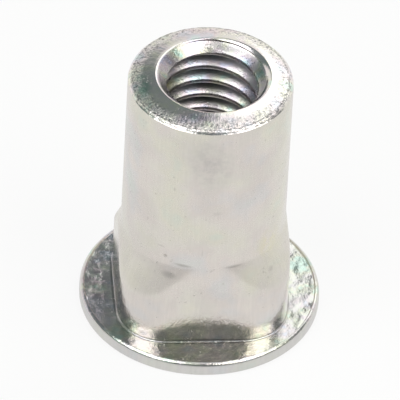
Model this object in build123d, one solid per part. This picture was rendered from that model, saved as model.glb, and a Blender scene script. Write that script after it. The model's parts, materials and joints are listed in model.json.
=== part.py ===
from build123d import *

import os
from math import radians, sqrt, tan

# Blind rivet nut for an M6 screw: one cold formed and turned piece of steel.
# It has a flat round head, a foot of rounded square section under the head, a round shank, a sleeve
# wall over a counterbore that folds when the nut is set, and a tapped bore beyond it.
# Frame: origin at the centre of the head's outer face, +Z along the bore axis to the shank's free end.
# All sizes are in millimetres, and angles in degrees.

# Head: a flat round flange
head_diameter = 13.2
head_thickness = 0.8
head_rim_rounding = 0.27      # at the edge of the bearing face
head_face_rounding = 0.12     # at the edge of the outer face

# Round shank and its free end, which is slightly crowned
shank_diameter = 9.0
overall_length = 16.0
end_crown_height = 0.28       # rise of the end face from its outer edge to the mouth of the bore
end_crown_bulge = 0.05        # how far the end face stands out from a straight cone
end_edge_chamfer = 0.16       # between the shank and the end face

# Foot of rounded square section, which keeps the nut from turning in a square hole
foot_across_flats = 9.35
foot_corner_radius = 2.6
foot_ramp_top = 6.2           # height at which the corner ramps leave the round shank
foot_ramp_angle = 24.0        # slope of the corner ramps from the axis
foot_straight_top = 5.1       # height up to which the flats are parallel to the axis
foot_flat_lean = 8.0          # lean of the flats towards the axis above that height
foot_root_fillet = 0.25

# Counterbore from the head, with the cone that its drill leaves
counterbore_diameter = 6.9
counterbore_depth = 8.6
counterbore_cone_angle = 118.0
head_mouth_chamfer = 0.2      # where the counterbore opens in the head's outer face

# M6 x 1 bore beyond it: the plain wall is at the thread's minor diameter
bore_diameter = 5.0
mouth_diameter = 6.15         # countersink in the shank's free end
mouth_angle = 90.0

overrun = 1.0                 # how far cutting tools and hidden overlaps run past what they meet


def rounded_corner(start, corner, end):
    """Quarter arc that rounds a square corner of a profile."""
    centre = Vector(start) + Vector(end) - Vector(corner)
    middle = centre + (Vector(corner) - centre) * sqrt(0.5)
    return ThreePointArc(start, middle, end)


def head_profile():
    """Half section of the head, from its outer face round the rim to the bearing face."""
    rim_r = head_diameter / 2
    face_corner = (rim_r, 0)
    face_start = (rim_r - head_face_rounding, 0)
    face_end = (rim_r, head_face_rounding)
    bearing_corner = (rim_r, head_thickness)
    bearing_start = (rim_r, head_thickness - head_rim_rounding)
    bearing_end = (rim_r - head_rim_rounding, head_thickness)
    Line((0, 0), face_start)
    rounded_corner(face_start, face_corner, face_end)
    Line(face_end, bearing_start)
    rounded_corner(bearing_start, bearing_corner, bearing_end)
    Line(bearing_end, (shank_diameter / 2, head_thickness))


def shank_profile():
    """Half section of the round shank and its crowned end, from the bearing face to the axis."""
    shank_r = shank_diameter / 2
    crown_outer = Vector(shank_r - end_edge_chamfer, overall_length - end_crown_height)
    crown_inner = Vector(mouth_diameter / 2, overall_length)
    slant = crown_outer - crown_inner
    outward = Vector(-slant.Y, slant.X).normalized()
    crown_middle = (crown_outer + crown_inner) / 2 + outward * end_crown_bulge
    shank_top = (shank_r, crown_outer.Y - end_edge_chamfer)
    Line((shank_r, head_thickness), shank_top)
    Line(shank_top, crown_outer)
    ThreePointArc(crown_outer, crown_middle, crown_inner)
    Line(crown_inner, (0, overall_length))


def turned_blank():
    """Head, round shank and crowned end, turned about the Z axis, still solid inside."""
    with BuildPart() as blank:
        with BuildSketch(Plane.XZ):
            with BuildLine():
                head_profile()
                shank_profile()
                Line((0, overall_length), (0, 0))
            make_face()
        revolve(axis=Axis.Z)
    return blank.part


def foot_section(height, inset=0.0):
    """The foot's rounded square at a height, with its outline drawn in by an inset."""
    across = foot_across_flats - 2 * inset
    with BuildSketch(Plane.XY.offset(height)) as section:
        RectangleRounded(across, across, foot_corner_radius - inset)
    return section.sketch


def square_foot():
    """Foot of rounded square section: its flats lean in near the top, and a cone cuts its corners."""
    shank_r = shank_diameter / 2
    ramp_slope = tan(radians(foot_ramp_angle))
    foot_bottom = head_thickness / 2
    foot_top = foot_ramp_top + overrun / 2
    inset = (foot_top - foot_straight_top) * tan(radians(foot_flat_lean))
    with BuildPart() as foot:
        extrude(foot_section(foot_bottom), amount=foot_straight_top - foot_bottom)
        loft([foot_section(foot_straight_top), foot_section(foot_top, inset)], ruled=True)
        Cone(
            bottom_radius=shank_r + foot_ramp_top * ramp_slope,
            top_radius=shank_r - overrun * ramp_slope,
            height=foot_ramp_top + overrun,
            align=(Align.CENTER, Align.CENTER, Align.MIN),
            mode=Mode.INTERSECT,
        )
    return foot.part


def axis_distance(edge):
    """How far the middle of an edge lies from the Z axis."""
    middle = edge @ 0.5
    return Vector(middle.X, middle.Y).length


def root_edges(body):
    """The edges where the foot stands on the head's bearing face."""
    rim_edge_r = head_diameter / 2 - head_rim_rounding
    level_edges = body.edges().filter_by_position(Axis.Z, head_thickness, head_thickness)
    return [edge for edge in level_edges if axis_distance(edge) < rim_edge_r - foot_root_fillet]


def bore_tools():
    """What the drills, the tap drill and the countersinks take out, as one turned solid."""
    counterbore_r = counterbore_diameter / 2
    bore_r = bore_diameter / 2
    mouth_r = mouth_diameter / 2
    cone_height = (counterbore_r - bore_r) / tan(radians(counterbore_cone_angle / 2))
    mouth_flare = tan(radians(mouth_angle / 2))
    mouth_depth = (mouth_r - bore_r) / mouth_flare
    outline = [
        (0, -overrun),
        (counterbore_r + head_mouth_chamfer + overrun, -overrun),
        (counterbore_r, head_mouth_chamfer),
        (counterbore_r, counterbore_depth),
        (bore_r, counterbore_depth + cone_height),
        (bore_r, overall_length - mouth_depth),
        (mouth_r + overrun * mouth_flare, overall_length + overrun),
        (0, overall_length + overrun),
    ]
    with BuildPart() as tools:
        with BuildSketch(Plane.XZ):
            Polygon(*outline, align=None)
        revolve(axis=Axis.Z)
    return tools.part


def rivet_nut():
    """The whole nut: the turned blank with its square foot, filleted at the head, then bored."""
    body = turned_blank() + square_foot()
    body = body.fillet(foot_root_fillet, root_edges(body))
    return body - bore_tools()


os.makedirs("parts", exist_ok=True)
export_step(rivet_nut(), "parts/rivet_nut.step")
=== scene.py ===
import json
import math

import bpy
from mathutils import Matrix, Vector, noise


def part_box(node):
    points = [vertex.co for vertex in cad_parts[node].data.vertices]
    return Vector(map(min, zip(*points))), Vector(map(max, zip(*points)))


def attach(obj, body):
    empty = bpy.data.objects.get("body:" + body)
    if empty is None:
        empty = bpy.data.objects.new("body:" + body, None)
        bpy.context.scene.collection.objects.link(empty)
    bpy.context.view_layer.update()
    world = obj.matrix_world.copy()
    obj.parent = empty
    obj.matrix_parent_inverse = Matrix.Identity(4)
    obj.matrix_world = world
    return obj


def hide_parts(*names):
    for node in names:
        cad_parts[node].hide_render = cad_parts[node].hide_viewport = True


# Dress of a blind rivet nut: one cold formed steel piece with clear zinc plating and a tapped bore.
# Metres, in the CAD frame: the head stands on Z = 0 and the bore runs up the Z axis.

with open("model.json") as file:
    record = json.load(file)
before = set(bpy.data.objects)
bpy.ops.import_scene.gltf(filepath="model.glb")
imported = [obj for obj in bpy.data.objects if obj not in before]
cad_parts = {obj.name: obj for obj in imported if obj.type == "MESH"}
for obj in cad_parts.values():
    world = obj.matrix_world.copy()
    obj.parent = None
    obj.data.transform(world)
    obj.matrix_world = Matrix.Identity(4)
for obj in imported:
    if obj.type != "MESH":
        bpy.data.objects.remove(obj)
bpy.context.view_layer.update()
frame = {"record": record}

MM = 0.001
TURN = 2 * math.pi


def mount(name):
    """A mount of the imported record, by name."""
    return next(m for m in frame["record"]["mounts"] if m["name"] == name)


# ---------------------------------------------------------------- sizes from the frame
nut_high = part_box("rivet_nut")[1]
top_z = nut_high.z
head_r = nut_high.x
shank_r = mount("round_shank")["dims"]["r_mm"] * MM
sleeve_r = mount("sleeve_bore")["dims"]["r_mm"] * MM
crest_r = mount("thread")["dims"]["r_mm"] * MM
bearing_z = mount("bearing_face")["pos_m"][2]

# Head
rim_round = 0.27 * MM
face_round = 0.12 * MM
face_dish = 0.05 * MM          # fall of the bearing face from the foot to the rim
calm_to = 3.8 * MM             # the bearing face is calmer up to this distance to either side
wavy_from = 5.4 * MM           # and most wavy from this one
sleeve_lip = 0.2 * MM

# Foot of rounded square section
foot_half = 4.675 * MM
foot_corner = 2.6 * MM
foot_ramp_top = 6.2 * MM
foot_ramp_slope = math.tan(math.radians(24))
foot_straight_top = 5.1 * MM
foot_lean = math.tan(math.radians(8))
foot_fillet = 0.07 * MM
crease_soft = 0.12 * MM
ramp_drop = 0.36 * MM          # how much lower the corner ramps lie than in the CAD
ramp_shift = 0.16 * MM         # how far the ramps' cone stands off the axis
ramp_shift_angle = math.radians(-45)
foot_top = foot_ramp_top + 0.8 * MM  # the rings stand close together up to here

# Free end
crown_rise = 0.28 * MM
crown_bulge = 0.05 * MM
end_chamfer = 0.16 * MM
mouth_r = 3.075 * MM
mouth_soft = 0.08 * MM
mouth_shift = 0.14 * MM        # how far the countersink stands off the axis, towards +X
mouth_shift_full = 0.5 * MM    # all of that shift down to this depth under the end
mouth_shift_none = 1.3 * MM    # and none of it below this one
torn_from = 3.55 * MM          # the end face is torn more from this radius
torn_full = 4.2 * MM           # and most from this one

# Thread M6 x 1 in the bore, and the sleeve's cone below it
pitch = 1.0 * MM
root_r = 3.03 * MM
core_r = crest_r - 0.05 * MM
sleeve_top = 8.6 * MM
cone_slope = math.tan(math.radians(59))
thread_start = math.radians(96)  # where the thread's first turn begins, from +X
crest_z = 14.40 * MM           # height of a crest where the first turn begins
crest_flat = 0.20 * MM
root_flat = 0.125 * MM

# Fineness of the mesh, and how near points count as touching
SIDES = 288
THREAD_STEPS = 160
weld = 0.002 * MM
touch = 0.001 * MM
skin = 0.05 * MM               # a face whose middle is within this of a level is part of it


# ---------------------------------------------------------------- modelling helpers
def deselect_everything():
    """Nothing is selected or active, so that an operator acts only on what follows."""
    for selected in list(bpy.context.selected_objects):
        selected.select_set(False)
    bpy.context.view_layer.objects.active = None


def make_active(piece):
    """The piece alone is selected, so that operators and modifiers act on it."""
    deselect_everything()
    piece.select_set(True)
    bpy.context.view_layer.objects.active = piece


def start_ring(name, radius, height):
    """A ring of edges round the axis, left selected in edit mode."""
    deselect_everything()
    bpy.ops.mesh.primitive_circle_add(vertices=SIDES, radius=radius, fill_type="NOTHING", location=(0, 0, 0))
    piece = bpy.context.object
    piece.name = name
    bpy.ops.object.mode_set(mode="EDIT")
    bpy.ops.mesh.select_all(action="SELECT")
    bpy.ops.transform.translate(value=(0, 0, height))
    return piece


def pull_ring(here, there):
    """Extrudes the selected ring from one (radius, height) to the next."""
    grow = there[0] / here[0]
    bpy.ops.mesh.extrude_region_move()
    bpy.ops.transform.resize(value=(grow, grow, 1), center_override=(0, 0, 0))
    bpy.ops.transform.translate(value=(0, 0, there[1] - here[1]))


def line(start, end, steps=1):
    """Stations on a straight run of the section, without its first point."""
    return [(start[0] + (end[0] - start[0]) * i / steps, start[1] + (end[1] - start[1]) * i / steps)
            for i in range(1, steps + 1)]


def arc(centre, radius, from_deg, to_deg, steps):
    """Stations on a round of the section, without its first point."""
    found = []
    for i in range(1, steps + 1):
        angle = math.radians(from_deg + (to_deg - from_deg) * i / steps)
        found.append((centre[0] + radius * math.cos(angle), centre[1] + radius * math.sin(angle)))
    return found


# ---------------------------------------------------------------- the turned body
def crown_point(share):
    """A point of the end face's section, from its outer edge (0) to the mouth (1)."""
    outer = (shank_r - end_chamfer, top_z - crown_rise)
    bulge = 4 * share * (1 - share) * crown_bulge
    return (outer[0] + (mouth_r - outer[0]) * share, outer[1] + crown_rise * share + bulge * (1 - share))


def body_stations():
    """The section of the nut, once round: head face, rim, bearing face, shank, end, bore and sleeve."""
    foot_r = shank_r + foot_fillet
    rim_top = (head_r - rim_round, bearing_z)
    shank_top = (shank_r, top_z - crown_rise - end_chamfer)
    stations = [(sleeve_r + sleeve_lip, 0.0)]
    stations += line(stations[-1], (head_r - face_round, 0.0), 12)
    stations += arc((head_r - face_round, face_round), face_round, -90, 0, 4)
    stations += line(stations[-1], (head_r, bearing_z - rim_round), 3)
    stations += arc((head_r - rim_round, bearing_z - rim_round), rim_round, 0, 90, 6)
    stations += line(rim_top, (foot_r, bearing_z), 20)
    stations += arc((foot_r, bearing_z + foot_fillet), foot_fillet, 270, 180, 6)
    stations += line(stations[-1], (shank_r, foot_top), 58)
    stations += line(stations[-1], shank_top, 24)
    stations += line(stations[-1], crown_point(0), 4)
    stations += [crown_point(i / 20) for i in range(1, 20)]
    stations += [(mouth_r + mouth_soft, top_z - 0.1 * mouth_soft), (mouth_r, top_z - 0.4 * mouth_soft)]
    stations += line(stations[-1], (core_r, top_z - (mouth_r - core_r)), 5)
    stations += line(stations[-1], (core_r, sleeve_top + (sleeve_r - core_r) / cone_slope), 2)
    stations += line(stations[-1], (sleeve_r, sleeve_top), 6)
    stations += line(stations[-1], (sleeve_r, sleeve_lip), 10)
    stations += line(stations[-1], stations[0], 2)
    return stations


def square_radius(angle, height):
    """Distance from the axis to the foot's rounded square at an angle and a height."""
    inset = max(0.0, height - foot_straight_top) * foot_lean
    half = foot_half - inset
    corner = foot_corner - inset
    angle = abs((angle + TURN / 8) % (TURN / 4) - TURN / 8)
    if half * math.tan(angle) <= half - corner:
        return half / math.cos(angle)
    knee = half - corner
    along = knee * (math.cos(angle) + math.sin(angle))
    return along + math.sqrt(corner ** 2 - 2 * knee ** 2 + along ** 2)


def soft_min(a, b, soft):
    """The lesser of two lengths, rounded over where they come within soft of each other."""
    overlap = max(soft - abs(a - b), 0.0) / soft
    return min(a, b) - overlap ** 2 * soft / 4


def ramp_radius(angle, height):
    """Distance from the axis to the cone of the corner ramps."""
    cone = shank_r + (foot_ramp_top - ramp_drop - height) * foot_ramp_slope
    swing = angle - ramp_shift_angle
    return ramp_shift * math.cos(swing) + math.sqrt(cone ** 2 - (ramp_shift * math.sin(swing)) ** 2)


def foot_radius(angle, height):
    """The body's outer radius in the foot: the square cut by the cone, never inside the round shank."""
    cut = soft_min(square_radius(angle, height), ramp_radius(angle, height), crease_soft)
    return -soft_min(-cut, -shank_r, crease_soft / 2)


def shape_foot(piece):
    """Moves the rings of the foot and of the bearing face from round to rounded square."""
    fillet_edge_r = shank_r + foot_fillet
    rim_start = head_r - rim_round
    for vertex in piece.data.vertices:
        x, y, z = vertex.co
        radius = math.hypot(x, y)
        if not (bearing_z - 0.01 * MM < z < foot_top + 0.1 * MM and radius > shank_r - 0.02 * MM):
            continue
        if radius > rim_start + touch:
            continue
        angle = math.atan2(y, x)
        if z < bearing_z + touch:
            share = (radius - fillet_edge_r) / (rim_start - fillet_edge_r)
            target = (foot_radius(angle, z) + foot_fillet) * (1 - share) + rim_start * share
        else:
            target = foot_radius(angle, z) + (radius - shank_r)
        vertex.co.x = math.cos(angle) * target
        vertex.co.y = math.sin(angle) * target


def turned_body():
    """The nut without its thread."""
    stations = body_stations()
    piece = start_ring("nut_body", *stations[0])
    for here, there in zip(stations, stations[1:]):
        pull_ring(here, there)
    bpy.ops.mesh.select_all(action="SELECT")
    bpy.ops.mesh.remove_doubles(threshold=weld)
    bpy.ops.mesh.normals_make_consistent(inside=False)
    bpy.ops.object.mode_set(mode="OBJECT")
    shape_foot(piece)
    return piece


# ---------------------------------------------------------------- the tap that cuts the thread
def tap_profile():
    """One pitch of the tap's outline as (radius, height), from one valley's middle to the next."""
    flank = (pitch - crest_flat - root_flat) / 2
    stations = [(crest_r, 0.0), (crest_r, crest_flat * 0.25), (crest_r + 0.012 * MM, crest_flat * 0.5)]
    low = crest_flat * 0.5 + flank * 0.12
    high = crest_flat * 0.5 + flank * 0.9
    depth = root_r - crest_r
    stations += [(crest_r + depth * 0.09, low)]
    stations += line((crest_r + depth * 0.09, low), (crest_r + depth * 0.9, high), 4)
    stations += [(crest_r + depth * 0.985, crest_flat * 0.5 + flank * 1.02), (root_r, pitch / 2)]
    mirrored = [(radius, pitch - height) for radius, height in reversed(stations[:-1])]
    return stations + mirrored


def make_tap():
    """A threaded rod, a little longer than the bore."""
    turns = 9
    start_z = crest_z - 7 * pitch
    deselect_everything()
    bpy.ops.mesh.primitive_plane_add(size=pitch, location=(0, 0, 0))
    tap = bpy.context.object
    tap.name = "tap"
    bpy.ops.object.mode_set(mode="EDIT")
    bpy.ops.mesh.select_all(action="SELECT")
    bpy.ops.mesh.merge(type="CENTER")
    profile = tap_profile()
    place = Vector((0, 0, 0))
    for index, (radius, height) in enumerate(profile):
        target = Vector((radius, 0, start_z + height))
        if index:
            bpy.ops.mesh.extrude_region_move()
        bpy.ops.transform.translate(value=target - place)
        place = target
    bpy.ops.object.mode_set(mode="OBJECT")
    screw = tap.modifiers.new("thread", "SCREW")
    screw.axis = "Z"
    screw.angle = TURN
    screw.screw_offset = pitch
    screw.iterations = turns
    screw.steps = THREAD_STEPS
    screw.render_steps = THREAD_STEPS
    screw.use_merge_vertices = True
    screw.merge_threshold = touch
    bpy.ops.object.modifier_apply(modifier="thread")
    tap.data.transform(Matrix.Rotation(thread_start, 4, "Z"))
    bpy.ops.object.mode_set(mode="EDIT")
    bpy.ops.mesh.select_all(action="SELECT")
    bpy.ops.mesh.remove_doubles(threshold=weld)
    for height, keep_low in ((sleeve_top - 0.5 * MM, False), (top_z + 0.4 * MM, True)):
        bpy.ops.mesh.select_all(action="SELECT")
        bpy.ops.mesh.bisect(plane_co=(0, 0, height), plane_no=(0, 0, 1), use_fill=True,
                            clear_inner=not keep_low, clear_outer=keep_low)
    bpy.ops.mesh.select_all(action="SELECT")
    bpy.ops.mesh.normals_make_consistent(inside=False)
    bpy.ops.object.mode_set(mode="OBJECT")
    return tap


def tap_bore(body):
    """Cuts the thread into the body, with its run-outs in the countersink and in the sleeve's cone."""
    tap = make_tap()
    make_active(body)
    cut = body.modifiers.new("tapped", "BOOLEAN")
    cut.operation = "DIFFERENCE"
    cut.solver = "EXACT"
    cut.object = tap
    bpy.ops.object.modifier_apply(modifier="tapped")
    bpy.data.objects.remove(tap)


# ---------------------------------------------------------------- surface forms
def blend(value, low, high):
    """0 below low, 1 above high, and smooth between them."""
    share = min(1.0, max(0.0, (value - low) / (high - low)))
    return share * share * (3 - 2 * share)


def lumps(spot, size, seed=0.0):
    """Smooth random lumps of a size, from 0 to 1."""
    return 0.5 + 0.5 * noise.noise(spot / size + Vector((seed, seed, seed)))


def hammer_face(vertex, radius):
    """The bearing face falls a little towards the rim, and is more wavy at its sides."""
    spot = Vector((vertex.co.x, vertex.co.y, 0))
    share = min(1.0, max(0.0, (radius - shank_r) / (head_r - rim_round - shank_r)))
    aside = 0.3 + 0.7 * blend(abs(vertex.co.x), calm_to, wavy_from)
    depth = 0.044 * MM * lumps(spot, 0.80 * MM) + 0.040 * MM * lumps(spot, 0.38 * MM, 9.0)
    vertex.co.z -= face_dish * share ** 1.5 + depth * aside * min(1.0, share * 2.2)


def shear_end(vertex, radius):
    """The end face is torn towards its outer edge, and the edge is uneven."""
    spot = Vector((vertex.co.x, vertex.co.y, 0))
    near_edge = blend(radius, torn_from, torn_full)
    tear = 0.030 * MM * lumps(spot, 0.30 * MM) + 0.020 * MM * lumps(spot, 0.75 * MM, 4.0)
    vertex.co.z -= tear * (0.25 + 0.75 * near_edge)
    grow = 1 - 0.008 * near_edge * lumps(vertex.co, 0.26 * MM, 7.0)
    vertex.co.x *= grow
    vertex.co.y *= grow


def roughen(piece):
    """Small waves of the formed and sheared surfaces, always inside the CAD box."""
    for vertex in piece.data.vertices:
        z = vertex.co.z
        radius = math.hypot(vertex.co.x, vertex.co.y)
        if abs(z - bearing_z) < touch and radius < head_r - rim_round + touch:
            hammer_face(vertex, radius)
        elif z > top_z - crown_rise - 1.2 * end_chamfer and radius > mouth_r + 2 * mouth_soft:
            shear_end(vertex, radius)
        if z > top_z - mouth_shift_none:
            inside = 1 - blend(radius, mouth_r, shank_r - end_chamfer)
            raised = blend(z, top_z - mouth_shift_none, top_z - mouth_shift_full)
            vertex.co.x += mouth_shift * inside * raised


def mark_root(piece):
    """Stores where the colour is darkened along the foot's root, most at the middle of each flat."""
    line_values = piece.data.attributes.new("root_darkness", "FLOAT", "POINT")
    for vertex, value in zip(piece.data.vertices, line_values.data):
        x, y, z = vertex.co
        if not bearing_z - 0.06 * MM < z < bearing_z + foot_fillet + 0.05 * MM:
            continue
        beyond = math.hypot(x, y) - foot_radius(math.atan2(y, x), bearing_z + 0.1 * MM)
        if beyond < foot_fillet + 0.09 * MM:
            value.value = 1 - 0.85 * blend(min(abs(x), abs(y)), 1.6 * MM, 2.8 * MM)


# ---------------------------------------------------------------- node helpers
def add_node(tree, kind, **settings):
    node = tree.nodes.new(kind)
    for name, value in settings.items():
        setattr(node, name, value)
    return node


def feed(tree, socket, value):
    """Links an output to a socket, or sets the socket's value."""
    if isinstance(value, bpy.types.NodeSocket):
        tree.links.new(value, socket)
    else:
        socket.default_value = value


def math_node(tree, operation, *values, clamp=False):
    node = add_node(tree, "ShaderNodeMath", operation=operation, use_clamp=clamp)
    for socket, value in zip(node.inputs, values):
        feed(tree, socket, value)
    return node.outputs[0]


def mix_colour(tree, amount, first, second, method="MIX"):
    node = add_node(tree, "ShaderNodeMix", data_type="RGBA", blend_type=method)
    feed(tree, node.inputs["Factor"], amount)
    feed(tree, node.inputs["A"], first)
    feed(tree, node.inputs["B"], second)
    return node.outputs["Result"]


def noise_texture(tree, vector, scale, detail=2.0, rough=0.5):
    node = add_node(tree, "ShaderNodeTexNoise")
    feed(tree, node.inputs["Vector"], vector)
    node.inputs["Scale"].default_value = scale
    node.inputs["Detail"].default_value = detail
    node.inputs["Roughness"].default_value = rough
    return node.outputs["Fac"]


def ramp(tree, value, low, high, out_low=0.0, out_high=1.0):
    """A value between low and high, spread smoothly from out_low to out_high."""
    node = add_node(tree, "ShaderNodeMapRange", interpolation_type="SMOOTHSTEP")
    feed(tree, node.inputs["Value"], value)
    for name, amount in (("From Min", low), ("From Max", high), ("To Min", out_low), ("To Max", out_high)):
        feed(tree, node.inputs[name], amount)
    return node.outputs["Result"]


def new_group(name, inputs, outputs):
    """A shader node group with named sockets: inputs are (name, type, default)."""
    tree = bpy.data.node_groups.new(name, "ShaderNodeTree")
    for socket_name, kind, default in inputs:
        socket = tree.interface.new_socket(socket_name, in_out="INPUT", socket_type=kind)
        socket.default_value = default
    for socket_name, kind in outputs:
        tree.interface.new_socket(socket_name, in_out="OUTPUT", socket_type=kind)
    return tree, add_node(tree, "NodeGroupInput").outputs, add_node(tree, "NodeGroupOutput").inputs


def use_group(tree, group, **values):
    node = add_node(tree, "ShaderNodeGroup", node_tree=group)
    for name, value in values.items():
        feed(tree, node.inputs[name.replace("_", " ")], value)
    return node.outputs


FLOAT, COLOUR, VECTOR = "NodeSocketFloat", "NodeSocketColor", "NodeSocketVector"


def in_millimetres(tree):
    """Object coordinates in millimetres."""
    coordinates = add_node(tree, "ShaderNodeTexCoord")
    scaled = add_node(tree, "ShaderNodeVectorMath", operation="SCALE")
    tree.links.new(coordinates.outputs["Object"], scaled.inputs[0])
    scaled.inputs["Scale"].default_value = 1 / MM
    return scaled.outputs["Vector"]


def across_axis(tree, spot):
    """The part of a position that lies across the nut's axis."""
    flat = add_node(tree, "ShaderNodeVectorMath", operation="MULTIPLY")
    tree.links.new(spot, flat.inputs[0])
    flat.inputs[1].default_value = (1, 1, 0)
    return flat.outputs["Vector"]


def length_of(tree, vector):
    node = add_node(tree, "ShaderNodeVectorMath", operation="LENGTH")
    tree.links.new(vector, node.inputs[0])
    return node.outputs["Value"]


def height_of(tree, spot):
    node = add_node(tree, "ShaderNodeSeparateXYZ")
    tree.links.new(spot, node.inputs[0])
    return node.outputs["Z"]


def film_tint_group():
    """Faint interference hues of the clear passivate over the zinc: warm, pink, green and lilac clouds."""
    tree, given, out = new_group("film_tint", [
        ("Metal", COLOUR, (0.72, 0.69, 0.62, 1)), ("Strength", FLOAT, 0.5), ("Scale", FLOAT, 0.4),
    ], [("Color", COLOUR)])
    spot = in_millimetres(tree)
    node = add_node(tree, "ShaderNodeTexNoise")
    tree.links.new(spot, node.inputs["Vector"])
    tree.links.new(given["Scale"], node.inputs["Scale"])
    node.inputs["Detail"].default_value = 3.0
    hue = add_node(tree, "ShaderNodeValToRGB")
    tree.links.new(node.outputs["Fac"], hue.inputs["Fac"])
    stops = ((0.30, (0.74, 1.0, 0.88, 1)), (0.40, (1.0, 0.98, 0.80, 1)), (0.48, (1.0, 0.95, 0.92, 1)),
             (0.56, (1.0, 0.86, 0.90, 1)), (0.64, (0.86, 0.84, 1.0, 1)), (0.74, (0.78, 0.97, 1.0, 1)))
    while len(hue.color_ramp.elements) < len(stops):
        hue.color_ramp.elements.new(0.5)
    for element, (place, colour) in zip(hue.color_ramp.elements, stops):
        element.position = place
        element.color = colour
    tinted = mix_colour(tree, given["Strength"], given["Metal"],
                        mix_colour(tree, 1.0, given["Metal"], hue.outputs["Color"], "MULTIPLY"))
    tree.links.new(tinted, out["Color"])
    return tree


def drawn_lines_group():
    """Fine lines left by forming: along the axis on upright walls, and outwards on level faces."""
    tree, given, out = new_group("drawn_lines", [
        ("Fineness", FLOAT, 14.0), ("Length", FLOAT, 0.25),
    ], [("Lines", FLOAT)])
    spot = in_millimetres(tree)
    flat = across_axis(tree, spot)
    around = add_node(tree, "ShaderNodeVectorMath", operation="NORMALIZE")
    tree.links.new(flat, around.inputs[0])
    spread = add_node(tree, "ShaderNodeVectorMath", operation="SCALE")
    tree.links.new(around.outputs["Vector"], spread.inputs[0])
    tree.links.new(given["Fineness"], spread.inputs["Scale"])
    along = math_node(tree, "ADD", height_of(tree, spot), length_of(tree, flat))
    lift = add_node(tree, "ShaderNodeCombineXYZ")
    tree.links.new(math_node(tree, "MULTIPLY", along, given["Length"]), lift.inputs["Z"])
    total = add_node(tree, "ShaderNodeVectorMath", operation="ADD")
    tree.links.new(spread.outputs["Vector"], total.inputs[0])
    tree.links.new(lift.outputs["Vector"], total.inputs[1])
    tree.links.new(noise_texture(tree, total.outputs["Vector"], 3.0, 4.0, 0.6), out["Lines"])
    return tree


def pits_group():
    """Small dark pits and specks in the plating, more of them inside cloudy patches."""
    tree, given, out = new_group("pits", [
        ("Scale", FLOAT, 5.0), ("Amount", FLOAT, 0.5),
    ], [("Mask", FLOAT)])
    spot = in_millimetres(tree)
    swirl = add_node(tree, "ShaderNodeTexNoise")
    tree.links.new(spot, swirl.inputs["Vector"])
    swirl.inputs["Scale"].default_value = 9.0
    bent = add_node(tree, "ShaderNodeVectorMath", operation="MULTIPLY_ADD")
    tree.links.new(swirl.outputs["Color"], bent.inputs[0])
    bent.inputs[1].default_value = (0.16, 0.16, 0.16)
    tree.links.new(spot, bent.inputs[2])
    speck = add_node(tree, "ShaderNodeTexVoronoi")
    tree.links.new(bent.outputs["Vector"], speck.inputs["Vector"])
    tree.links.new(given["Scale"], speck.inputs["Scale"])
    cloud = noise_texture(tree, spot, 0.9, 3.0, 0.6)
    reach = math_node(tree, "MULTIPLY", ramp(tree, cloud, 0.45, 0.70), 0.30)
    near = math_node(tree, "SUBTRACT", reach, speck.outputs["Distance"])
    mask = ramp(tree, near, 0.0, 0.12)
    tree.links.new(math_node(tree, "MULTIPLY", mask, given["Amount"], clamp=True), out["Mask"])
    return tree


def patch_group():
    """A soft-edged spot on the surface: 1 at its middle and 0 beyond its reach along each axis."""
    tree, given, out = new_group("patch", [
        ("Middle", VECTOR, (0, 0, 0)), ("Reach", VECTOR, (1, 1, 1)), ("Core", FLOAT, 0.2),
    ], [("Mask", FLOAT)])
    away = add_node(tree, "ShaderNodeVectorMath", operation="SUBTRACT")
    tree.links.new(in_millimetres(tree), away.inputs[0])
    tree.links.new(given["Middle"], away.inputs[1])
    share = add_node(tree, "ShaderNodeVectorMath", operation="DIVIDE")
    tree.links.new(away.outputs["Vector"], share.inputs[0])
    tree.links.new(given["Reach"], share.inputs[1])
    mask = ramp(tree, length_of(tree, share.outputs["Vector"]), given["Core"], 1.0, 1.0, 0.0)
    tree.links.new(mask, out["Mask"])
    return tree


film_tint = film_tint_group()
drawn_lines = drawn_lines_group()
pits = pits_group()
patch = patch_group()

ZINC = (0.705, 0.685, 0.635, 1)
ZINC_DARK = (0.40, 0.385, 0.36, 1)


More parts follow.
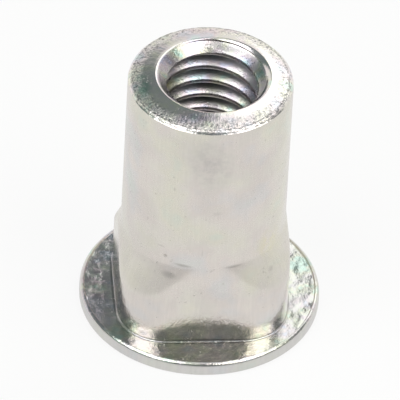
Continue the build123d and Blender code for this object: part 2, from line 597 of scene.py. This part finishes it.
class Finish:
    """A zinc plated finish: colour, roughness and height are gathered, then put on the shader.

    It starts from the metal's colour, the strength and scale of its film's tint, and its roughness with
    how far that varies. Lengths in a finish are in millimetres, apart from depths, which are in metres.
    """

    def __init__(self, name, metal, tint, tint_scale, rough, rough_spread):
        self.material = bpy.data.materials.new(name)
        self.material.use_nodes = True
        self.tree = self.material.node_tree
        self.shader = self.tree.nodes["Principled BSDF"]
        self.shader.inputs["Metallic"].default_value = 1.0
        self.spot = in_millimetres(self.tree)
        self.colour = use_group(self.tree, film_tint, Metal=metal, Strength=tint, Scale=tint_scale)["Color"]
        cloud = noise_texture(self.tree, self.spot, 1.3, 4.0, 0.6)
        self.rough = ramp(self.tree, cloud, 0.3, 0.7, rough - rough_spread, rough + rough_spread)
        self.height = 0.0

    def raise_by(self, mask, depth):
        """Adds a mask's relief, in metres where the mask is 1."""
        part = math_node(self.tree, "MULTIPLY", mask, depth)
        self.height = math_node(self.tree, "ADD", self.height, part)

    def lines(self, fineness, length, depth, strength=0.0):
        """Drawn lines as relief, and as a light and dark grain."""
        found = use_group(self.tree, drawn_lines, Fineness=fineness, Length=length)["Lines"]
        self.raise_by(found, depth)
        if strength:
            self.shade(ramp(self.tree, found, 0.35, 0.65), strength)

    def waves(self, size, depth, detail=2.0):
        self.raise_by(noise_texture(self.tree, self.spot, 1 / size, detail, 0.55), depth)

    def shade(self, mask, strength, colour=ZINC_DARK):
        """Darkens the metal towards a colour under a mask."""
        amount = math_node(self.tree, "MULTIPLY", mask, strength, clamp=True)
        self.colour = mix_colour(self.tree, amount, self.colour, colour)

    def dull(self, mask, amount):
        self.rough = math_node(self.tree, "ADD", self.rough, math_node(self.tree, "MULTIPLY", mask, amount))

    def pitted(self, scale, amount, depth):
        mask = use_group(self.tree, pits, Scale=scale, Amount=1.0)["Mask"]
        self.shade(mask, amount)
        self.dull(mask, 0.15)
        self.raise_by(mask, -depth)

    def root_line(self):
        """Darkens the colour in a line where the foot's flats meet the head."""
        mask = add_node(self.tree, "ShaderNodeAttribute", attribute_name="root_darkness").outputs["Fac"]
        self.shade(mask, 0.65, (0.20, 0.20, 0.19, 1))

    def spot_mask(self, middle, reach, core=0.2):
        return use_group(self.tree, patch, Middle=middle, Reach=reach, Core=core)["Mask"]

    def stain_and_painted_reflection(self, middle, reach, strength, colour, fineness=1.6):
        """A discoloured place, uneven and soft at its edges, used for stains and for painted dark
        reflection: middle and reach in millimetres.
        """
        clouds = noise_texture(self.tree, self.spot, fineness, 4.0, 0.65)
        uneven = ramp(self.tree, clouds, 0.36, 0.60, 0.15, 1.0)
        place = self.spot_mask(middle, reach, 0.1)
        self.shade(math_node(self.tree, "MULTIPLY", place, uneven), strength, colour)

    def apply(self):
        self.tree.links.new(self.colour, self.shader.inputs["Base Color"])
        self.tree.links.new(self.rough, self.shader.inputs["Roughness"])
        bump = add_node(self.tree, "ShaderNodeBump")
        bump.inputs["Strength"].default_value = 1.0
        bump.inputs["Distance"].default_value = 1.0
        self.tree.links.new(self.height, bump.inputs["Height"])
        self.tree.links.new(bump.outputs["Normal"], self.shader.inputs["Normal"])
        return self.material


def satin_shank():
    """Shank and foot: satin above, shinier and more lined towards the foot's base, with small dents, painted
    shade along the creases, and a stained cloud with painted dark reflection under the free end.
    """
    finish = Finish("satin_shank", ZINC, 0.32, 0.32, 0.27, 0.03)
    tree = finish.tree
    low = ramp(tree, height_of(tree, finish.spot), 4.6, 2.4)
    finish.dull(low, -0.08)
    finish.lines(6.5, 0.7, math_node(tree, "ADD", math_node(tree, "MULTIPLY", low, 0.017 * MM), 0.0014 * MM))
    finish.lines(20.0, 0.25, 0.0008 * MM, 0.08)
    finish.waves(0.9, 0.0022 * MM, 3.0)
    finish.waves(0.16, 0.0010 * MM, 3.0)
    finish.pitted(4.0, 0.30, 0.003 * MM)
    # dull, darker cloud on the front under the free end: partly a stain, partly a painted dark reflection
    cloud = ramp(tree, noise_texture(tree, finish.spot, 2.6, 5.0, 0.7), 0.38, 0.62, 0.35, 1.0)
    smudge_and_dark_reflection = finish.spot_mask((-0.2, -4.5, 13.4), (1.9, 4.0, 2.6), 0.1)
    finish.shade(math_node(tree, "MULTIPLY", smudge_and_dark_reflection, cloud), 0.62, (0.50, 0.485, 0.46, 1))
    finish.dull(smudge_and_dark_reflection, 0.10)
    finish.root_line()
    # small dents, with painted shade along the creases: middle and reach in mm, depth in mm, darkness of the
    # painted shade
    for middle, reach, depth, shade_darkness in (
        ((-2.36, -3.83, 6.34), (0.16, 0.5, 0.15), 0.030, 0.50),
        ((-2.60, -3.67, 6.95), (0.34, 0.6, 0.07), 0.006, 0.35),
        ((-0.40, -4.48, 7.05), (0.07, 0.5, 0.36), 0.005, 0.25),
        ((0.30, -4.49, 9.90), (0.40, 0.5, 0.20), 0.005, 0.18),
        ((-2.05, -4.00, 11.3), (0.10, 0.5, 0.16), 0.010, 0.35),
        ((-1.55, -4.45, 6.02), (0.85, 0.6, 0.13), 0.004, 0.85),
        ((-2.25, -4.40, 5.38), (0.70, 0.6, 0.28), 0.004, 0.72),
        ((1.53, -4.55, 6.00), (0.90, 0.6, 0.10), 0.003, 0.62),
        ((3.47, -3.60, 5.13), (0.22, 0.4, 0.20), 0.006, 0.35),
    ):
        dent_and_shade = finish.spot_mask(middle, reach)
        finish.shade(dent_and_shade, shade_darkness)
        finish.raise_by(dent_and_shade, -depth * MM)
    # faint yellow stain, and faint dark clouds all over
    finish.stain_and_painted_reflection((3.30, -3.06, 6.6), (1.5, 1.5, 1.3), 0.50, (0.70, 0.66, 0.42, 1))
    cloudy = ramp(tree, noise_texture(tree, finish.spot, 0.42, 3.0, 0.55), 0.42, 0.62)
    finish.shade(cloudy, 0.13, (0.42, 0.40, 0.385, 1))
    return finish.apply()


def bright_head():
    """Bearing face: bright, wavy and mottled."""
    finish = Finish("bright_head", (0.73, 0.745, 0.725, 1), 0.60, 0.8, 0.20, 0.04)
    finish.waves(0.34, 0.022 * MM, 3.0)
    finish.lines(6.0, 2.0, 0.0080 * MM)
    finish.waves(0.15, 0.0070 * MM, 3.0)
    finish.root_line()
    # violet-brown patch over the left side of the bearing face: partly a stain, partly a painted dark
    # reflection
    finish.stain_and_painted_reflection((-5.7, -0.6, 0.8), (1.2, 4.2, 1.2), 0.62, (0.60, 0.48, 0.53, 1))
    finish.pitted(5.0, 0.35, 0.003 * MM)
    return finish.apply()


def satin_rim():
    """The head's rim."""
    finish = Finish("satin_rim", (0.64, 0.64, 0.62, 1), 0.2, 0.6, 0.34, 0.03)
    finish.lines(14.0, 0.4, 0.0012 * MM, 0.12)
    finish.waves(0.5, 0.003 * MM)
    finish.pitted(5.0, 0.2, 0.002 * MM)
    return finish.apply()


def sheared_end():
    """Free end: torn metal with a grain that runs outwards, coarser towards the edge."""
    finish = Finish("sheared_end", (0.89, 0.88, 0.85, 1), 0.55, 0.75, 0.17, 0.04)
    tree = finish.tree
    reach = length_of(tree, across_axis(tree, finish.spot))
    torn = ramp(tree, reach, 3.5, 4.0, 0.06, 1.0)
    torn = math_node(tree, "MULTIPLY", torn, ramp(tree, reach, 4.46, 4.36, 0.2, 1.0))
    grain = noise_texture(tree, finish.spot, 7.5, 3.0, 0.7)
    finish.raise_by(math_node(tree, "MULTIPLY", grain, torn), 0.034 * MM)
    specks = ramp(tree, noise_texture(tree, finish.spot, 6.0, 4.0, 0.7), 0.52, 0.60)
    finish.shade(math_node(tree, "MULTIPLY", specks, torn), 0.70, (0.20, 0.205, 0.20, 1))
    # thin torn step just inside the edge
    wander = noise_texture(tree, finish.spot, 1.6, 3.0, 0.6)
    place = math_node(tree, "ADD", reach, math_node(tree, "MULTIPLY", wander, 0.16))
    inner = ramp(tree, place, 4.26, 4.32)
    outer = ramp(tree, place, 4.42, 4.36)
    step = math_node(tree, "MULTIPLY", inner, outer)
    step = math_node(tree, "MULTIPLY", step, ramp(tree, grain, 0.44, 0.54))
    finish.shade(step, 0.60, (0.20, 0.20, 0.195, 1))
    finish.raise_by(step, -0.016 * MM)
    finish.lines(8.0, 1.2, 0.006 * MM)
    finish.dull(torn, 0.03)
    finish.stain_and_painted_reflection((-3.75, -0.7, 15.9), (0.7, 1.5, 0.8), 0.75, (0.30, 0.56, 0.44, 1))
    finish.stain_and_painted_reflection((-0.9, -3.45, 15.9), (1.9, 0.55, 0.8), 0.60, (0.56, 0.46, 0.60, 1))
    finish.stain_and_painted_reflection((0.2, 3.9, 15.8), (1.9, 0.7, 0.8), 0.45, (0.86, 0.66, 0.68, 1))
    finish.pitted(6.5, 0.40, 0.004 * MM)
    return finish.apply()


def cut_thread():
    """Thread and countersink: a little torn, with painted shade in the grooves."""
    finish = Finish("cut_thread", (0.56, 0.57, 0.585, 1), 1.0, 0.9, 0.27, 0.05)
    tree = finish.tree
    # painted shade: the grooves below the mouth are darkened, and made rougher
    shaded_groove = ramp(tree, length_of(tree, across_axis(tree, finish.spot)), 2.62, 2.95)
    shaded_groove = math_node(tree, "MULTIPLY", shaded_groove, ramp(tree, height_of(tree, finish.spot), 15.5, 15.2))
    finish.shade(shaded_groove, 0.80, (0.19, 0.195, 0.20, 1))
    finish.dull(shaded_groove, 0.10)
    finish.waves(0.16, 0.013 * MM, 4.0)
    finish.waves(0.05, 0.004 * MM, 3.0)
    finish.lines(9.0, 0.8, 0.004 * MM)
    finish.stain_and_painted_reflection((-0.5, 2.6, 14.0), (2.0, 1.2, 0.8), 0.55, (0.30, 0.42, 0.44, 1))
    finish.stain_and_painted_reflection((-2.3, 1.6, 13.8), (0.9, 1.0, 0.5), 0.55, (0.62, 0.56, 0.22, 1), 2.4)
    finish.stain_and_painted_reflection((2.6, 0.9, 13.6), (0.9, 1.4, 0.9), 0.50, (0.36, 0.36, 0.56, 1), 2.0)
    # dark on one side of the countersink
    finish.stain_and_painted_reflection((3.05, -0.2, 15.75), (0.55, 1.0, 0.5), 0.85, (0.15, 0.15, 0.14, 1), 2.4)
    finish.pitted(5.0, 0.35, 0.003 * MM)
    return finish.apply()


def dull_sleeve():
    """Counterbore wall."""
    finish = Finish("dull_sleeve", (0.60, 0.58, 0.54, 1), 0.4, 0.6, 0.34, 0.05)
    finish.lines(16.0, 0.3, 0.0015 * MM, 0.15)
    finish.waves(0.5, 0.003 * MM, 3.0)
    finish.pitted(5.0, 0.35, 0.003 * MM)
    return finish.apply()


def head_face():
    """Outer face of the head."""
    finish = Finish("head_face", (0.74, 0.72, 0.68, 1), 0.5, 0.5, 0.25, 0.04)
    finish.waves(0.6, 0.004 * MM, 3.0)
    finish.lines(10.0, 0.5, 0.0015 * MM, 0.10)
    finish.pitted(4.5, 0.3, 0.003 * MM)
    return finish.apply()


# ---------------------------------------------------------------- camera
CAMERA_AZIMUTH = -6.0
CAMERA_ELEVATION = 41.18
CAMERA_ROLL = 3.2
CAMERA_DISTANCE = 0.6
VIEW_WIDTH = 21.84 * MM        # what the picture spans at the nut
VIEW_SHIFT = (-0.011, -0.0105)
AIM_HEIGHT = 7.28 * MM
SENSOR = 36.0


def direction(azimuth, elevation):
    """Unit vector at an azimuth from -Y towards +X and an elevation, in degrees."""
    a, e = math.radians(azimuth), math.radians(elevation)
    return Vector((math.sin(a) * math.cos(e), -math.cos(a) * math.cos(e), math.sin(e)))


def make_camera():
    data = bpy.data.cameras.new("view")
    data.sensor_width = SENSOR
    data.lens = SENSOR * CAMERA_DISTANCE / VIEW_WIDTH
    data.clip_start = 0.05
    data.clip_end = 5.0
    data.shift_x, data.shift_y = VIEW_SHIFT
    camera = bpy.data.objects.new("view", data)
    bpy.context.scene.collection.objects.link(camera)
    back = direction(CAMERA_AZIMUTH, CAMERA_ELEVATION)
    aim = Vector((0, 0, AIM_HEIGHT))
    turn = (-back).to_track_quat("-Z", "Y").to_matrix().to_4x4()
    roll = Matrix.Rotation(math.radians(CAMERA_ROLL), 4, "Z")
    camera.matrix_world = Matrix.Translation(aim + back * CAMERA_DISTANCE) @ turn @ roll
    bpy.context.scene.camera = camera


# ---------------------------------------------------------------- stage
LAMP_DISTANCE = 0.25
LAMP_AIM_HEIGHT = 5 * MM
FLOOR_WIDTH = 3.0
FLOOR_GAP = 0.02 * MM          # the floor lies this far under the head
FLOOR_GLOW = 0.85              # share of plain white in what is seen of the floor


def make_softbox(name, meridian, elevation, sideways, width, height, strength, colour=(1, 1, 1)):
    """A soft panel of light that faces the nut, with its upright along a meridian.

    Angles are in degrees. Azimuths run from the camera's side, and sideways is how far the panel stands
    from its meridian, towards greater azimuths. Strength is the panel's brightness.
    """
    middle = direction(CAMERA_AZIMUTH + meridian, elevation)
    upright = direction(CAMERA_AZIMUTH + meridian, elevation + 90)
    across = upright.cross(middle)
    swing = math.radians(sideways)
    towards = middle * math.cos(swing) + across * math.sin(swing)
    across = across * math.cos(swing) - middle * math.sin(swing)
    data = bpy.data.lights.new(name, "AREA")
    data.shape = "RECTANGLE"
    data.size = 2 * LAMP_DISTANCE * math.tan(math.radians(width / 2))
    data.size_y = 2 * LAMP_DISTANCE * math.tan(math.radians(height / 2))
    data.energy = 4 * data.size * data.size_y * strength
    data.color = colour
    lamp = bpy.data.objects.new(name, data)
    bpy.context.scene.collection.objects.link(lamp)
    turn = Matrix((across, upright, towards)).transposed().to_4x4()
    lamp.matrix_world = Matrix.Translation(Vector((0, 0, LAMP_AIM_HEIGHT)) + towards * LAMP_DISTANCE) @ turn
    lamp.visible_camera = False


def seen_share(tree, share):
    """The same share for camera, glossy and transmission rays, and 0 for the rest."""
    path = add_node(tree, "ShaderNodeLightPath").outputs
    mirrored = math_node(tree, "ADD", path["Is Glossy Ray"], path["Is Transmission Ray"])
    seen = math_node(tree, "ADD", path["Is Camera Ray"], mirrored, clamp=True)
    return math_node(tree, "MULTIPLY", seen, share)


def make_floor():
    """A pale matt floor, seen as nearly white by eye and in the metal, and see-through from below."""
    deselect_everything()
    bpy.ops.mesh.primitive_plane_add(size=FLOOR_WIDTH, location=(0, 0, -FLOOR_GAP))
    floor = bpy.context.object
    floor.name = "table_top"
    material = bpy.data.materials.new("white_table")
    material.use_nodes = True
    tree = material.node_tree
    matt = tree.nodes["Principled BSDF"]
    matt.inputs["Base Color"].default_value = (0.86, 0.86, 0.85, 1)
    matt.inputs["Roughness"].default_value = 0.9
    matt.inputs["Specular IOR Level"].default_value = 0.0
    glow = add_node(tree, "ShaderNodeEmission")
    top = add_node(tree, "ShaderNodeMixShader")
    tree.links.new(seen_share(tree, FLOOR_GLOW), top.inputs["Fac"])
    tree.links.new(matt.outputs[0], top.inputs[1])
    tree.links.new(glow.outputs[0], top.inputs[2])
    clear = add_node(tree, "ShaderNodeBsdfTransparent")
    sides = add_node(tree, "ShaderNodeMixShader")
    tree.links.new(add_node(tree, "ShaderNodeNewGeometry").outputs["Backfacing"], sides.inputs["Fac"])
    tree.links.new(top.outputs[0], sides.inputs[1])
    tree.links.new(clear.outputs[0], sides.inputs[2])
    tree.links.new(sides.outputs[0], tree.nodes["Material Output"].inputs["Surface"])
    floor.data.materials.append(material)


def make_world():
    """A dim studio with a pale wall low all round it, which stands higher beyond the nut."""
    world = bpy.data.worlds.new("studio")
    bpy.context.scene.world = world
    world.use_nodes = True
    tree = world.node_tree
    tree.nodes.clear()
    way = add_node(tree, "ShaderNodeTexCoord").outputs["Generated"]

    def facing(azimuth, elevation):
        """How squarely a direction looks towards an azimuth and an elevation, from -1 to 1."""
        node = add_node(tree, "ShaderNodeVectorMath", operation="DOT_PRODUCT")
        tree.links.new(way, node.inputs[0])
        node.inputs[1].default_value = direction(CAMERA_AZIMUTH + azimuth, elevation)
        return node.outputs["Value"]

    rise = facing(0, 90)
    to_right = ramp(tree, facing(90, 0), -0.7, 0.3)
    room = mix_colour(tree, to_right, (0.132, 0.166, 0.172, 1), (0.186, 0.206, 0.200, 1))
    wall_top = ramp(tree, facing(180, 0), 0.1, 0.6, 0.22, 0.50)
    wall = ramp(tree, math_node(tree, "SUBTRACT", wall_top, rise), -0.06, 0.10)
    colour = mix_colour(tree, wall, room, (0.84, 0.83, 0.82, 1))
    light = add_node(tree, "ShaderNodeBackground")
    tree.links.new(colour, light.inputs["Color"])
    result = add_node(tree, "ShaderNodeOutputWorld")
    tree.links.new(light.outputs[0], result.inputs["Surface"])


# ---------------------------------------------------------------- assembly
def zone_of(centre):
    """Which finish a face takes, from where its middle lies."""
    radius = math.hypot(centre.x, centre.y)
    if centre.z < skin:
        return "head_face"
    if radius < root_r + 0.02 * MM and sleeve_top < centre.z < top_z - 0.02 * MM:
        return "cut_thread"
    if radius < sleeve_r + 0.01 * MM and centre.z < sleeve_top + 0.6 * MM:
        return "dull_sleeve"
    if centre.z > top_z - crown_rise - end_chamfer - 0.03 * MM:
        return "sheared_end"
    if centre.z > bearing_z + skin:
        return "satin_shank"
    if radius > head_r - 0.4 * rim_round and centre.z < bearing_z - 0.4 * rim_round:
        return "satin_rim"
    return "bright_head"


def build_nut():
    """The whole nut: turned, tapped, roughened, dressed and handed to the frame."""
    body = turned_body()
    tap_bore(body)
    roughen(body)
    mark_root(body)
    finishes = [
        satin_shank(), bright_head(), satin_rim(), sheared_end(), cut_thread(), dull_sleeve(), head_face(),
    ]
    slots = {finish.name: index for index, finish in enumerate(finishes)}
    for finish in finishes:
        body.data.materials.append(finish)
    for face in body.data.polygons:
        face.material_index = slots[zone_of(face.center)]
    make_active(body)
    bpy.ops.object.shade_smooth_by_angle(angle=math.radians(32))
    body.name = "rivet_nut_dressed"
    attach(body, "root")
    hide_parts("rivet_nut")


build_nut()
make_floor()
# meridian, elevation, sideways, width and height in degrees, then brightness and colour
make_softbox("left_softbox", -52, 52, 0, 42, 42, 2.0)
make_softbox("right_softbox", 64, 52, 0, 36, 42, 2.0, (1.0, 0.98, 0.93))
make_softbox("right_fill", 34, 50, 0, 14, 38, 0.7, (1.0, 0.96, 0.88))
make_softbox("rear_softbox", 180, 50, -22, 40, 46, 0.92)
make_softbox("top_softbox", 180, 90, 0, 24, 24, 0.45)
make_world()
make_camera()
bpy.context.scene.view_settings.view_transform = "Standard"
